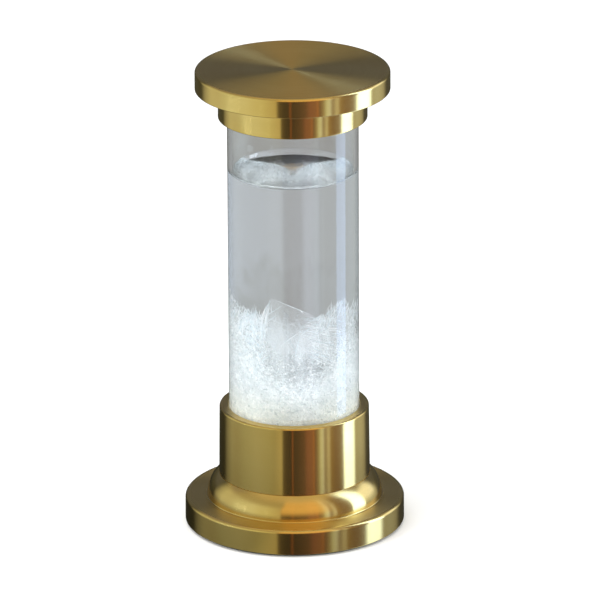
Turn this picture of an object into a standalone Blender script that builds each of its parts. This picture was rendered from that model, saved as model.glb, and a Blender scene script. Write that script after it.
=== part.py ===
"""FitzRoy storm glass: a sealed tube of liquid and crystals between a turned brass base and cap.

Lengths are in metres. The origin is on the surface that the base stands on, on the axis of the
tube, and +Z points up. Every round piece is a profile of (radius, height) points that a Screw
modifier turns about Z.
"""
import math

import bmesh
import bpy
from mathutils import Matrix, Vector

MM = 0.001
GAP = 0.3 * MM  # clearance between two pieces that touch

# Driving dimensions
TUBE_RADIUS = 25.0 * MM
TUBE_WALL = 1.8 * MM
TOTAL_HEIGHT = 181.8 * MM

FLANGE_RADIUS = 42.1 * MM
FLANGE_TOP = 10.8 * MM
MOULDING_RADIUS = 33.6 * MM
MOULDING_TOP = 20.0 * MM
MOULDING_BOW = 11.5 * MM  # radius of the moulding's convex side
MOULDING_SLOPE = 52.0  # degrees that its side leans back where it meets the collar
FOOT_FILLET = 0.6 * MM
RIM_ROUND = 1.4 * MM

COLLAR_TOP = 47.2 * MM
COLLAR_TOP_RADIUS = 28.7 * MM
COLLAR_FOOT_RADIUS = 29.0 * MM
COLLAR_ROUND = 0.8 * MM
SOCKET_FLOOR = 28.2 * MM
SOCKET_SKIN = 1.6 * MM  # brass left between the socket floor and the screw hole
SPIGOT_RADIUS = 12.0 * MM
SPIGOT_HEIGHT = 2.0 * MM

RING_BOTTOM = 163.1 * MM
RING_RADIUS = 28.4 * MM
RING_WEB = 3.0 * MM
DISC_BOTTOM = 174.2 * MM
DISC_RADIUS = 37.1 * MM
DISC_ROUND = 1.2 * MM
EDGE_BREAK = 0.3 * MM  # small rounding that takes the sharpness off a turned edge

BORE_RADIUS = TUBE_RADIUS + 0.5 * MM
SEAL_CORD_RADIUS = 0.9 * MM
SEAL_GROOVE_RADIUS = BORE_RADIUS + 1.7 * MM
SEAL_GROOVE_HEIGHT = 2.5 * MM
SEAL_INSET = 4.0 * MM  # from the bore's mouth to the groove

PAD_RADIUS = 40.5 * MM
PAD_THICKNESS = 0.7 * MM
CUSHION_THICKNESS = 2.2 * MM
CUSHION_RADIUS = BORE_RADIUS - 0.6 * MM

LIQUID_LEVEL = 140.5 * MM
MENISCUS_RISE = 2.6 * MM
CAPILLARY_LENGTH = 1.76 * MM
BED_HEIGHT = 72.0 * MM
STOPPER_THICKNESS = 3.2 * MM
RESIN_THICKNESS = 1.4 * MM

SCREW_RADIUS = 3.0 * MM
SCREW_HEAD_RADIUS = 5.0 * MM
SCREW_HEAD_HEIGHT = 6.0 * MM
WASHER_RADIUS = 6.0 * MM
WASHER_THICKNESS = 1.6 * MM
COUNTERBORE_RADIUS = 7.5 * MM
COUNTERBORE_ROOF = 12.0 * MM
SLIT_WIDTH = 0.8 * MM
SLIT_LENGTH = 6.0 * MM
SLIT_SLANT = 20.0  # degrees
SOCKET_ACROSS = 5.0 * MM
SOCKET_DEPTH = 3.0 * MM
CAP_SCREW_RADIUS = 2.5 * MM
CAP_SCREW_HEAD_RADIUS = 4.6 * MM
CAP_SCREW_LENGTH = 8.4 * MM
CAP_SOCKET_ACROSS = 3.0 * MM
CAP_SOCKET_DEPTH = 1.6 * MM

ROUND_STEPS = 48  # facets round a large piece
SMALL_STEPS = 24  # facets round a screw, washer or hidden disc

# Heights that follow from the ones above
FOOT_BOTTOM = PAD_THICKNESS + GAP
COLLAR_BOTTOM = MOULDING_TOP + GAP
RING_TOP = DISC_BOTTOM - GAP
WEB_UNDERSIDE = RING_TOP - RING_WEB
SOCKET_CUSHION_BOTTOM = SOCKET_FLOOR + GAP
TUBE_BOTTOM = SOCKET_CUSHION_BOTTOM + CUSHION_THICKNESS + GAP
CAP_CUSHION_BOTTOM = WEB_UNDERSIDE - GAP - CUSHION_THICKNESS
TUBE_TOP = CAP_CUSHION_BOTTOM - GAP
TUBE_FLOOR = TUBE_BOTTOM + TUBE_WALL
INNER_RADIUS = TUBE_RADIUS - TUBE_WALL
FILL_RADIUS = INNER_RADIUS - GAP

# The large crystals: foot (x, y), tip (x, y, z), width and thickness, all in millimetres
CRYSTAL_FOOT_HEIGHT = 66.0 * MM
CRYSTAL_PLATES = [
    ((-16.5, 1.5), (-19.0, 2.5, 92.0), 4.6, 1.2),
    ((-9.0, -7.5), (-11.5, -5.0, 90.0), 7.4, 1.0),
    ((-2.5, 7.0), (-6.5, 9.5, 89.0), 6.6, 1.2),
    ((3.0, -12.0), (7.0, -13.5, 86.0), 6.0, 1.0),
    ((14.0, -4.0), (17.5, -3.0, 90.0), 4.8, 1.2),
    ((8.0, 9.5), (6.0, 13.0, 93.0), 6.4, 1.1),
]


def clear_scene():
    for old in list(bpy.data.objects):
        bpy.data.objects.remove(old, do_unlink=True)


def new_collection(name):
    collection = bpy.data.collections.new(name)
    bpy.context.scene.collection.children.link(collection)
    return collection


def make_material(name, colour, roughness, metallic=0.0, transmission=0.0):
    material = bpy.data.materials.new(name)
    material.use_nodes = True
    shader = material.node_tree.nodes["Principled BSDF"]
    shader.inputs["Base Color"].default_value = (*colour, 1.0)
    shader.inputs["Roughness"].default_value = roughness
    shader.inputs["Metallic"].default_value = metallic
    shader.inputs["Transmission Weight"].default_value = transmission
    material.diffuse_color = (*colour, 1.0)
    return material


def corner_arc(before, corner, after, radius, steps):
    """Points of the arc that rounds one corner of a profile."""
    middle = Vector(corner)
    to_before = (Vector(before) - middle).normalized()
    to_after = (Vector(after) - middle).normalized()
    half_angle = to_before.angle(to_after) / 2
    reach = radius / math.tan(half_angle)
    centre = middle + (to_before + to_after).normalized() * radius / math.sin(half_angle)
    start = middle + to_before * reach - centre
    end = middle + to_after * reach - centre
    turn = start.angle_signed(end)
    return [
        tuple(centre + Matrix.Rotation(-turn * i / steps, 2) @ start)
        for i in range(steps + 1)
    ]


def profile(corners, closed=False):
    """Outline from (radius, height) or (radius, height, rounding, steps) corners."""
    points = []
    count = len(corners)
    for i, corner in enumerate(corners):
        at_end = not closed and i in (0, count - 1)
        if len(corner) == 2 or at_end:
            points.append(corner[:2])
            continue
        before = corners[i - 1][:2]
        after = corners[(i + 1) % count][:2]
        points += corner_arc(before, corner[:2], after, corner[2], corner[3])
    return points


def finish_object(obj, material, collection):
    obj.data.materials.append(material)
    collection.objects.link(obj)
    return obj


def turned(name, points, material, collection, steps=ROUND_STEPS, closed=False):
    """A piece turned about Z. The profile runs down the outer side, from top to bottom."""
    mesh = bpy.data.meshes.new(name)
    outline = bmesh.new()
    verts = [outline.verts.new((radius, 0.0, height)) for radius, height in points]
    for first, second in zip(verts, verts[1:]):
        outline.edges.new((first, second))
    if closed:
        outline.edges.new((verts[-1], verts[0]))
    outline.to_mesh(mesh)
    outline.free()
    obj = bpy.data.objects.new(name, mesh)
    screw = obj.modifiers.new("turn", "SCREW")
    screw.axis = "Z"
    screw.angle = math.tau
    screw.steps = steps
    screw.render_steps = steps
    screw.use_merge_vertices = True
    screw.merge_threshold = 0.00001
    screw.use_smooth_shade = True
    screw.use_normal_calculate = False
    return finish_object(obj, material, collection)


def subtract(obj, cutters):
    """Cut obj with every object in a collection of cutters."""
    cut = obj.modifiers.new("cut", "BOOLEAN")
    cut.operation = "DIFFERENCE"
    cut.solver = "EXACT"
    cut.operand_type = "COLLECTION"
    cut.collection = cutters


def hide_cutter(obj):
    obj.hide_render = True
    obj.display_type = "WIRE"


def hex_recess(name, mouth, depth, across_flats, cutters):
    """Cutter for a hexagon socket that runs up from its mouth in the underside of a screw head."""
    radius = across_flats / 2 / math.cos(math.pi / 6)
    mesh = bpy.data.meshes.new(name)
    body = bmesh.new()
    bmesh.ops.create_cone(
        body, cap_ends=True, segments=6, radius1=radius, radius2=radius, depth=depth * 2
    )
    bmesh.ops.translate(body, verts=body.verts, vec=(0.0, 0.0, mouth))
    body.to_mesh(mesh)
    body.free()
    cutter = bpy.data.objects.new(name, mesh)
    cutters.objects.link(cutter)
    hide_cutter(cutter)


def seal_ring(name, mouth, towards, material, collection):
    """Rubber ring in the groove of a bore; towards is +1 where the bore runs up from its mouth."""
    height = mouth + towards * (SEAL_INSET + SEAL_GROOVE_HEIGHT / 2)
    bpy.ops.mesh.primitive_torus_add(
        location=(0.0, 0.0, height),
        major_radius=TUBE_RADIUS + GAP + SEAL_CORD_RADIUS,
        minor_radius=SEAL_CORD_RADIUS,
        major_segments=ROUND_STEPS,
        minor_segments=8,
    )
    ring = bpy.context.object
    ring.name = name
    ring.data.name = name
    for owner in list(ring.users_collection):
        owner.objects.unlink(ring)
    ring.data.shade_smooth()
    return finish_object(ring, material, collection)


def grooved_bore(mouth, towards):
    """Bore profile with its seal groove, from the mouth inwards."""
    near = mouth + towards * SEAL_INSET
    far = near + towards * SEAL_GROOVE_HEIGHT
    return [
        (BORE_RADIUS, near),
        (SEAL_GROOVE_RADIUS, near),
        (SEAL_GROOVE_RADIUS, far),
        (BORE_RADIUS, far),
    ]


# Base

def make_base_foot(brass, collection):
    hole = SCREW_RADIUS + 0.4 * MM
    recess_radius = SPIGOT_RADIUS + GAP
    recess_floor = MOULDING_TOP - SPIGOT_HEIGHT - GAP
    bow_radius = MOULDING_RADIUS - MOULDING_BOW
    bow_height = MOULDING_TOP - MOULDING_BOW * math.sin(math.radians(MOULDING_SLOPE))
    bow_steps = 7
    slopes = [math.radians(MOULDING_SLOPE * (1 - i / bow_steps)) for i in range(bow_steps)]
    bow = [
        (bow_radius + MOULDING_BOW * math.cos(slope), bow_height + MOULDING_BOW * math.sin(slope))
        for slope in slopes
    ]
    corners = [
        (recess_radius, MOULDING_TOP),
        *bow,
        (MOULDING_RADIUS, FLANGE_TOP, FOOT_FILLET, 2),
        (FLANGE_RADIUS, FLANGE_TOP, RIM_ROUND, 4),
        (FLANGE_RADIUS, FOOT_BOTTOM, EDGE_BREAK, 1),
        (COUNTERBORE_RADIUS, FOOT_BOTTOM),
        (COUNTERBORE_RADIUS, COUNTERBORE_ROOF),
        (hole, COUNTERBORE_ROOF),
        (hole, recess_floor),
        (recess_radius, recess_floor),
    ]
    turned("base_foot", profile(corners, closed=True), brass, collection, closed=True)


def make_socket_collar(brass, collection):
    screw_hole = SCREW_RADIUS + GAP
    hole_roof = SOCKET_FLOOR - SOCKET_SKIN
    bore = [(0.0, SOCKET_FLOOR), (BORE_RADIUS, SOCKET_FLOOR)]
    bore += reversed(grooved_bore(COLLAR_TOP, -1))
    outside = [
        (BORE_RADIUS, COLLAR_TOP),
        (COLLAR_TOP_RADIUS, COLLAR_TOP, COLLAR_ROUND, 3),
        (COLLAR_FOOT_RADIUS, COLLAR_BOTTOM),
        (SPIGOT_RADIUS, COLLAR_BOTTOM),
        (SPIGOT_RADIUS, COLLAR_BOTTOM - SPIGOT_HEIGHT),
        (screw_hole, COLLAR_BOTTOM - SPIGOT_HEIGHT),
        (screw_hole, hole_roof),
        (0.0, hole_roof),
    ]
    turned("socket_collar", profile(bore + outside), brass, collection)


def make_base_fasteners(steel, collection, cutters):
    """Cap screw with its plain washer and split lock washer, all under the counterbore's roof."""
    washer_top = COUNTERBORE_ROOF - GAP
    washer_bottom = washer_top - WASHER_THICKNESS
    inner = SCREW_RADIUS + GAP
    washer = [
        (WASHER_RADIUS, washer_top),
        (WASHER_RADIUS, washer_bottom),
        (inner, washer_bottom),
        (inner, washer_top),
    ]
    turned("base_washer", washer, steel, collection, steps=SMALL_STEPS, closed=True)

    split_top = washer_bottom - GAP
    split_bottom = split_top - WASHER_THICKNESS
    split_radius = WASHER_RADIUS - EDGE_BREAK
    split = [
        (split_radius, split_top),
        (split_radius, split_bottom),
        (inner, split_bottom),
        (inner, split_top),
    ]
    lock_washer = turned("lock_washer", split, steel, collection, steps=SMALL_STEPS, closed=True)
    slit = bpy.data.meshes.new("lock_washer_slit")
    body = bmesh.new()
    bmesh.ops.create_cube(body, size=1.0)
    slant = Matrix.Rotation(math.radians(SLIT_SLANT), 4, "X")
    placed = Matrix.Translation((WASHER_RADIUS, 0.0, (split_top + split_bottom) / 2))
    shape = Matrix.Diagonal((WASHER_RADIUS, SLIT_WIDTH, SLIT_LENGTH, 1.0))
    bmesh.ops.transform(body, matrix=placed @ slant @ shape, verts=body.verts)
    body.to_mesh(slit)
    body.free()
    slit_object = bpy.data.objects.new("lock_washer_slit", slit)
    slit_cutters = bpy.data.collections.new("lock_washer_cutters")
    cutters.children.link(slit_cutters)
    slit_cutters.objects.link(slit_object)
    hide_cutter(slit_object)
    subtract(lock_washer, slit_cutters)

    head_top = split_bottom - GAP
    head_bottom = head_top - SCREW_HEAD_HEIGHT
    screw_end = SOCKET_FLOOR - SOCKET_SKIN - GAP
    screw = [
        (0.0, screw_end),
        (SCREW_RADIUS, screw_end, 0.5 * MM, 1),
        (SCREW_RADIUS, head_top),
        (SCREW_HEAD_RADIUS, head_top),
        (SCREW_HEAD_RADIUS, head_bottom, 0.5 * MM, 1),
        (0.0, head_bottom),
    ]
    base_screw = turned("base_screw", profile(screw), steel, collection, steps=SMALL_STEPS)
    screw_cutters = bpy.data.collections.new("base_screw_cutters")
    cutters.children.link(screw_cutters)
    hex_recess("base_screw_hex", head_bottom, SOCKET_DEPTH, SOCKET_ACROSS, screw_cutters)
    subtract(base_screw, screw_cutters)


def make_disc(
    name, radius, bottom, thickness, material, collection, rounding=EDGE_BREAK, steps=SMALL_STEPS
):
    corners = [
        (0.0, bottom + thickness),
        (radius, bottom + thickness, rounding, 1),
        (radius, bottom, rounding, 1),
        (0.0, bottom),
    ]
    turned(name, profile(corners), material, collection, steps=steps)


# Vessel

def make_glass_tube(glass, collection):
    corners = [
        (0.0, TUBE_FLOOR),
        (INNER_RADIUS, TUBE_FLOOR, 1.5 * MM, 2),
        (INNER_RADIUS, TUBE_TOP, 0.5 * MM, 1),
        (TUBE_RADIUS, TUBE_TOP, 0.5 * MM, 1),
        (TUBE_RADIUS, TUBE_BOTTOM, 2.5 * MM, 3),
        (0.0, TUBE_BOTTOM),
    ]
    turned("glass_tube", profile(corners), glass, collection)


def bed_top(x, y):
    """Height of the crystal bed's uneven top: it climbs the left wall and dips right of centre."""
    across = x / FILL_RADIUS
    deep = y / FILL_RADIUS
    swell = 2.2 * math.sin(3.1 * across - 1.0) + 1.6 * math.cos(4.3 * deep + 0.6)
    climb = 3.0 * max(-across, 0.0) ** 2
    dip = 3.5 * math.exp(-(((across - 0.35) / 0.3) ** 2) - (deep / 0.6) ** 2)
    return BED_HEIGHT + (swell + climb - dip) * MM


def lift_rings(obj, first_height, offset):
    """Move the vertices that stand at first_height onto the bed's top, plus offset."""
    depsgraph = bpy.context.evaluated_depsgraph_get()
    mesh = bpy.data.meshes.new_from_object(obj.evaluated_get(depsgraph))
    body = bmesh.new()
    body.from_mesh(mesh)
    for vertex in body.verts:
        if abs(vertex.co.z - first_height) < GAP / 10:
            vertex.co.z = bed_top(vertex.co.x, vertex.co.y) + offset
    bmesh.ops.triangulate(body, faces=body.faces, quad_method="SHORT_EDGE")
    body.to_mesh(mesh)
    body.free()
    obj.modifiers.clear()
    obj.data = mesh


def ring_radii(count):
    return [FILL_RADIUS * (i / count) for i in range(count + 1)]


def make_crystal_bed(crystal, collection, cutters):
    top = [(radius, BED_HEIGHT) for radius in ring_radii(4)]
    sides = [
        (FILL_RADIUS, TUBE_FLOOR + 1.5 * MM),
        (FILL_RADIUS - 1.5 * MM, TUBE_FLOOR + GAP),
        (0.0, TUBE_FLOOR + GAP),
    ]
    bed = turned("crystal_bed", top + sides, crystal, collection, steps=SMALL_STEPS)
    bpy.context.view_layer.update()
    lift_rings(bed, BED_HEIGHT, 0.0)
    bed.data.name = "crystal_bed"
    subtract(bed, cutters)


def make_storm_liquid(liquid, collection, cutters):
    def meniscus(radius):
        return LIQUID_LEVEL + MENISCUS_RISE * math.exp((radius - FILL_RADIUS) / CAPILLARY_LENGTH)

    rise_radii = [FILL_RADIUS - depth * CAPILLARY_LENGTH for depth in (4.0, 2.2, 1.2, 0.5, 0.0)]
    top = [(0.0, LIQUID_LEVEL)] + [(radius, meniscus(radius)) for radius in rise_radii]
    bottom = [(radius, BED_HEIGHT) for radius in reversed(ring_radii(4))]
    column = turned("storm_liquid", top + bottom, liquid, collection, steps=SMALL_STEPS)
    bpy.context.view_layer.update()
    lift_rings(column, BED_HEIGHT, GAP)
    column.data.name = "storm_liquid"
    subtract(column, cutters)


def crystal_blade(name, foot, tip, width, thickness, grow):
    """A flat pointed crystal from foot to tip, made grow larger on every side."""
    start = Vector((foot[0] * MM, foot[1] * MM, CRYSTAL_FOOT_HEIGHT))
    end = Vector(tip) * MM
    along = (end - start).normalized()
    start = start - along * grow * 2
    end = end + along * grow * 2
    half_width = width * MM / 2 + grow
    flatness = (thickness * MM / 2 + grow) / half_width
    body = bmesh.new()
    bmesh.ops.create_cone(
        body,
        cap_ends=True,
        segments=6,
        radius1=half_width,
        radius2=half_width * 0.3,
        depth=(end - start).length,
    )
    turn = Matrix.Rotation(math.atan2(foot[1], foot[0]) * 2, 4, "Z")
    shape = Matrix.Diagonal((1.0, flatness, 1.0, 1.0))
    aim = along.to_track_quat("Z", "Y").to_matrix().to_4x4()
    place = Matrix.Translation((start + end) / 2)
    bmesh.ops.transform(body, matrix=place @ aim @ turn @ shape, verts=body.verts)
    mesh = bpy.data.meshes.new(name)
    body.to_mesh(mesh)
    body.free()
    return bpy.data.objects.new(name, mesh)


def make_crystal_plates(crystal, collection, cutters):
    for number, (foot, tip, width, thickness) in enumerate(CRYSTAL_PLATES, 1):
        name = f"crystal_plate_{number}"
        plate = crystal_blade(name, foot, tip, width, thickness, 0.0)
        finish_object(plate, crystal, collection)
        slot = crystal_blade(f"{name}_slot", foot, tip, width, thickness, GAP)
        cutters.objects.link(slot)
        hide_cutter(slot)


# Cap

def make_cap_ring(brass, collection):
    hole = CAP_SCREW_RADIUS + GAP
    sink_radius = CAP_SCREW_HEAD_RADIUS + GAP
    sink_depth = CAP_SCREW_HEAD_RADIUS - CAP_SCREW_RADIUS
    corners = [
        (RING_RADIUS, RING_TOP),
        (RING_RADIUS, RING_BOTTOM, EDGE_BREAK, 1),
        (BORE_RADIUS, RING_BOTTOM),
    ]
    corners += grooved_bore(RING_BOTTOM, 1)
    corners += [
        (BORE_RADIUS, WEB_UNDERSIDE),
        (sink_radius, WEB_UNDERSIDE),
        (hole, WEB_UNDERSIDE + sink_depth),
        (hole, RING_TOP),
    ]
    turned("cap_ring", profile(corners, closed=True), brass, collection, closed=True)


def make_cap_disc(brass, collection):
    hole = CAP_SCREW_RADIUS + GAP
    hole_roof = WEB_UNDERSIDE + CAP_SCREW_LENGTH + GAP
    corners = [
        (0.0, TOTAL_HEIGHT),
        (DISC_RADIUS, TOTAL_HEIGHT, DISC_ROUND, 4),
        (DISC_RADIUS, DISC_BOTTOM, EDGE_BREAK, 1),
        (hole, DISC_BOTTOM),
        (hole, hole_roof),
        (0.0, hole_roof),
    ]
    turned("cap_disc", profile(corners), brass, collection)


def make_cap_screw(steel, collection, cutters):
    head_bottom = WEB_UNDERSIDE
    cone_top = head_bottom + CAP_SCREW_HEAD_RADIUS - CAP_SCREW_RADIUS
    tip = WEB_UNDERSIDE + CAP_SCREW_LENGTH
    corners = [
        (0.0, tip),
        (CAP_SCREW_RADIUS, tip, 0.4 * MM, 1),
        (CAP_SCREW_RADIUS, cone_top),
        (CAP_SCREW_HEAD_RADIUS, head_bottom),
        (0.0, head_bottom),
    ]
    screw = turned("cap_screw", profile(corners), steel, collection, steps=SMALL_STEPS)
    screw_cutters = bpy.data.collections.new("cap_screw_cutters")
    cutters.children.link(screw_cutters)
    hex_recess("cap_screw_hex", head_bottom, CAP_SOCKET_DEPTH, CAP_SOCKET_ACROSS, screw_cutters)
    subtract(screw, screw_cutters)


def build():
    clear_scene()
    parts = new_collection("storm_glass")
    cutters = new_collection("cutters")
    crystal_slots = bpy.data.collections.new("crystal_slots")
    cutters.children.link(crystal_slots)

    brass = make_material("brass", (0.62, 0.45, 0.13), 0.28, metallic=1.0)
    steel = make_material("steel", (0.56, 0.57, 0.58), 0.35, metallic=1.0)
    glass = make_material("glass", (0.93, 0.96, 0.97), 0.03, transmission=1.0)
    liquid = make_material("liquid", (0.90, 0.93, 0.95), 0.0, transmission=1.0)
    crystal = make_material("crystal", (0.88, 0.93, 0.96), 0.35, transmission=0.4)
    rubber = make_material("rubber", (0.035, 0.035, 0.04), 0.8)
    cork = make_material("cork", (0.48, 0.31, 0.17), 0.85)
    felt = make_material("felt", (0.045, 0.05, 0.045), 0.95)
    resin = make_material("resin", (0.72, 0.66, 0.50), 0.4)

    make_disc("foot_pad", PAD_RADIUS, 0.0, PAD_THICKNESS, felt, parts, 0.2 * MM, ROUND_STEPS)
    make_base_foot(brass, parts)
    make_socket_collar(brass, parts)
    make_base_fasteners(steel, parts, cutters)
    make_disc(
        "tube_cushion", CUSHION_RADIUS, SOCKET_CUSHION_BOTTOM, CUSHION_THICKNESS, cork, parts
    )
    seal_ring("socket_seal_ring", COLLAR_TOP, -1, rubber, parts)

    make_glass_tube(glass, parts)
    make_crystal_plates(crystal, parts, crystal_slots)
    make_crystal_bed(crystal, parts, crystal_slots)
    make_storm_liquid(liquid, parts, crystal_slots)
    resin_bottom = TUBE_TOP - RESIN_THICKNESS
    stopper_bottom = resin_bottom - GAP - STOPPER_THICKNESS
    make_disc("stopper", FILL_RADIUS, stopper_bottom, STOPPER_THICKNESS, rubber, parts)
    make_disc("resin_seal", FILL_RADIUS, resin_bottom, RESIN_THICKNESS, resin, parts)

    make_cap_ring(brass, parts)
    make_cap_disc(brass, parts)
    make_cap_screw(steel, parts, cutters)
    seal_ring("cap_seal_ring", RING_BOTTOM, 1, rubber, parts)
    make_disc("cap_cushion", CUSHION_RADIUS, CAP_CUSHION_BOTTOM, CUSHION_THICKNESS, cork, parts)


build()
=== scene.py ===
import math
import random

import bmesh
import bpy
import numpy as np
from mathutils import Matrix, Vector, noise


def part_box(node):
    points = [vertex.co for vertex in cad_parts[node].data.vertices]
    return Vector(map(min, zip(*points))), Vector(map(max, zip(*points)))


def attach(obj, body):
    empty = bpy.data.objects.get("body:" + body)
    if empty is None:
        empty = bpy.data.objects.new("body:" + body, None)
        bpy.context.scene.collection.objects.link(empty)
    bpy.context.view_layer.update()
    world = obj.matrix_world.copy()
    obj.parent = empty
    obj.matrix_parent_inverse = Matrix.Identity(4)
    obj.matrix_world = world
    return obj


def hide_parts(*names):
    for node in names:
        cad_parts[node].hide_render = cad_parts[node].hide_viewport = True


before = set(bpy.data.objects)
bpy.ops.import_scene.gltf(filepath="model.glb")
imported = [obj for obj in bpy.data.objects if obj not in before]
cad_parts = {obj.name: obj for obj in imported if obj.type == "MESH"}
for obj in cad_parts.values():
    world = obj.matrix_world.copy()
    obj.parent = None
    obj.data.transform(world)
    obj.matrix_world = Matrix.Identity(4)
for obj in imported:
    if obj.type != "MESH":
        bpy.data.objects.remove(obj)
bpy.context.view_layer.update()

MM = 0.001
ROUND = 256  # facets round a turned piece
SEAM = 0.02 * MM  # what two turned pieces keep clear of each other


# Helpers

def collect(name, data):
    """A new object in the scene, for a mesh, camera or light."""
    obj = bpy.data.objects.new(name, data)
    bpy.context.scene.collection.objects.link(obj)
    return obj


def hide_from(obj, *rays):
    for ray in rays:
        setattr(obj, f"visible_{ray}", False)


def finished(name, body):
    """The mesh of a bmesh, which is then freed."""
    mesh = bpy.data.meshes.new(name)
    body.to_mesh(mesh)
    body.free()
    return mesh


def arc(centre, radius, start, end, steps):
    """Points (r, z) of a profile's round stretch, angles in degrees from +r towards +z."""
    angles = [math.radians(start + (end - start) * i / steps) for i in range(steps + 1)]
    return [(centre[0] + radius * math.cos(a), centre[1] + radius * math.sin(a)) for a in angles]


def supported(points, closed):
    """The profile with an extra point just inside both ends of each long straight stretch.

    They keep the wall between two rounded corners truly straight when it is shaded smooth.
    """
    inset = 0.03 * MM
    shortest = 0.4 * MM
    full = []
    pairs = zip(points, points[1:] + points[:1] if closed else points[1:])
    for start, end in pairs:
        full.append(start)
        length = math.dist(start, end)
        if length > shortest:
            share = inset / length
            for part in (share, 1.0 - share):
                full.append(tuple(a + (b - a) * part for a, b in zip(start, end)))
    if not closed:
        full.append(points[-1])
    return full


def turned(name, points, closed=False, sharp=35):
    """A turned piece. The profile runs down its outer side, from top to bottom."""
    same_point = 1e-7
    points = supported(points, closed)
    outline = bmesh.new()
    verts = [outline.verts.new((radius, 0.0, height)) for radius, height in points]
    edges = [outline.edges.new(pair) for pair in zip(verts, verts[1:])]
    if closed:
        edges.append(outline.edges.new((verts[-1], verts[0])))
    bmesh.ops.spin(
        outline, geom=verts + edges, axis=(0, 0, 1), cent=(0, 0, 0), angle=math.tau,
        steps=ROUND, use_merge=True, use_duplicate=False,
    )
    bmesh.ops.remove_doubles(outline, verts=outline.verts, dist=same_point)
    bmesh.ops.recalc_face_normals(outline, faces=outline.faces)
    mesh = finished(name, outline)
    mesh.shade_smooth()
    mesh.set_sharp_from_angle(angle=math.radians(sharp))
    return collect(name, mesh)


def place(obj, body, slot, material, *nodes):
    """Give a piece its material, the CAD nodes that it stands for, and the body it rides on."""
    obj.data.materials.clear()
    obj.data.materials.append(material)
    if nodes:
        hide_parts(*nodes)
    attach(obj, body)


# Node building

class Nodes:
    """Short calls that add and link the nodes of one material."""

    def __init__(self, tree):
        self.tree = tree

    def add(self, kind, values=None, **settings):
        node = self.tree.nodes.new(kind)
        for key, value in settings.items():
            setattr(node, key, value)
        self.fill(node, values or {})
        return node

    def fill(self, node, values):
        for key, value in values.items():
            self.feed(node.inputs[key], value)

    def feed(self, socket, value):
        if isinstance(value, bpy.types.NodeSocket):
            self.tree.links.new(value, socket)
        else:
            socket.default_value = value

    def object_place(self):
        return self.add("ShaderNodeTexCoord").outputs["Object"]

    def split(self, vector):
        return self.add("ShaderNodeSeparateXYZ", {0: vector}).outputs

    def math(self, operation, *values):
        node = self.add("ShaderNodeMath", operation=operation)
        for socket, value in zip(node.inputs, values):
            self.feed(socket, value)
        return node.outputs[0]

    def scaled(self, value, factor, plus=0.0):
        return self.math("MULTIPLY_ADD", value, factor, plus)

    def product(self, first, *others):
        for other in others:
            first = self.math("MULTIPLY", first, other)
        return first

    def mix(self, share, first, second, blend="MIX"):
        node = self.add("ShaderNodeMix", data_type="RGBA", blend_type=blend)
        colour_a, colour_b = [s for s in node.inputs if s.type == "RGBA"]
        self.feed(node.inputs[0], share)
        self.feed(colour_a, first)
        self.feed(colour_b, second)
        return [s for s in node.outputs if s.type == "RGBA"][0]

    def smooth(self, value, low, high):
        """Grows softly from 0 to 1 as the value goes from low to high, which may lie below low."""
        node = self.add("ShaderNodeMapRange", interpolation_type="SMOOTHSTEP")
        self.fill(node, {"Value": value, "From Min": low, "From Max": high})
        return node.outputs[0]

    def swing(self, angle, start, end):
        """Grows softly from 0 to 1 as the angle goes from start to end, in degrees."""
        return self.smooth(angle, math.radians(start), math.radians(end))

    def ramp(self, value, stops):
        node = self.add("ShaderNodeValToRGB", {0: value})
        elements = node.color_ramp.elements
        elements.remove(elements[1])
        elements[0].position = stops[0][0]
        elements[0].color = (*stops[0][1], 1.0)
        for position, colour in stops[1:]:
            elements.new(position).color = (*colour, 1.0)
        return node.outputs[0]

    def noise(self, where, scale, detail):
        values = {"Vector": where, "Scale": scale, "Detail": detail}
        return self.add("ShaderNodeTexNoise", values).outputs[0]

    def bump(self, shader, height, distance, strength):
        values = {"Height": height, "Distance": distance, "Strength": strength}
        self.feed(shader.inputs["Normal"], self.add("ShaderNodeBump", values).outputs[0])


def new_material(name):
    material = bpy.data.materials.new(name)
    material.use_nodes = True
    return material, Nodes(material.node_tree), material.node_tree.nodes["Principled BSDF"]


def cylindrical(nodes):
    """Object coordinates: distance from the axis, height, and the whole vector."""
    where = nodes.object_place()
    x, y, height = nodes.split(where)
    squares = nodes.math("ADD", nodes.product(x, x), nodes.product(y, y))
    return nodes.math("SQRT", squares), height, where


def azimuth(nodes, x, y):
    """Angle round the axis, from the camera's side towards the right."""
    return nodes.math("ARCTAN2", x, nodes.scaled(y, -1.0))


# Materials

WHITE = (1.0, 1.0, 1.0, 1)


def brass_material(name, roughness):
    """Lathe-turned brass: fine grooves run round the axis, so highlights stretch across them."""
    deep, gold, groove = (0.80, 0.585, 0.205, 1), (0.84, 0.635, 0.245, 1), (0.62, 0.43, 0.14, 1)
    groove_depth = 0.016 * MM
    groove_tint = 0.10
    material, nodes, shader = new_material(name)
    radius, height, where = cylindrical(nodes)
    lathe = nodes.add("ShaderNodeCombineXYZ", {0: radius, 1: height}).outputs[0]
    fine = nodes.noise(lathe, 5200.0, 2.0)
    broad = nodes.noise(lathe, 620.0, 3.0)
    cloud = nodes.noise(where, 55.0, 4.0)
    tone = nodes.mix(nodes.smooth(cloud, 0.3, 0.7), deep, gold)
    share = nodes.scaled(nodes.smooth(broad, 0.35, 0.65), groove_tint)
    nodes.fill(shader, {
        "Base Color": nodes.mix(share, tone, groove),
        "Metallic": 1.0,
        "Roughness": nodes.scaled(broad, 0.05, roughness),
        "Anisotropic": 1.0,
        "Anisotropic Rotation": 0.25,
        "Tangent": nodes.add("ShaderNodeTangent", direction_type="RADIAL", axis="Z").outputs[0],
    })
    nodes.bump(shader, nodes.scaled(fine, 0.4, broad), groove_depth, 0.8)
    return material


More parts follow.
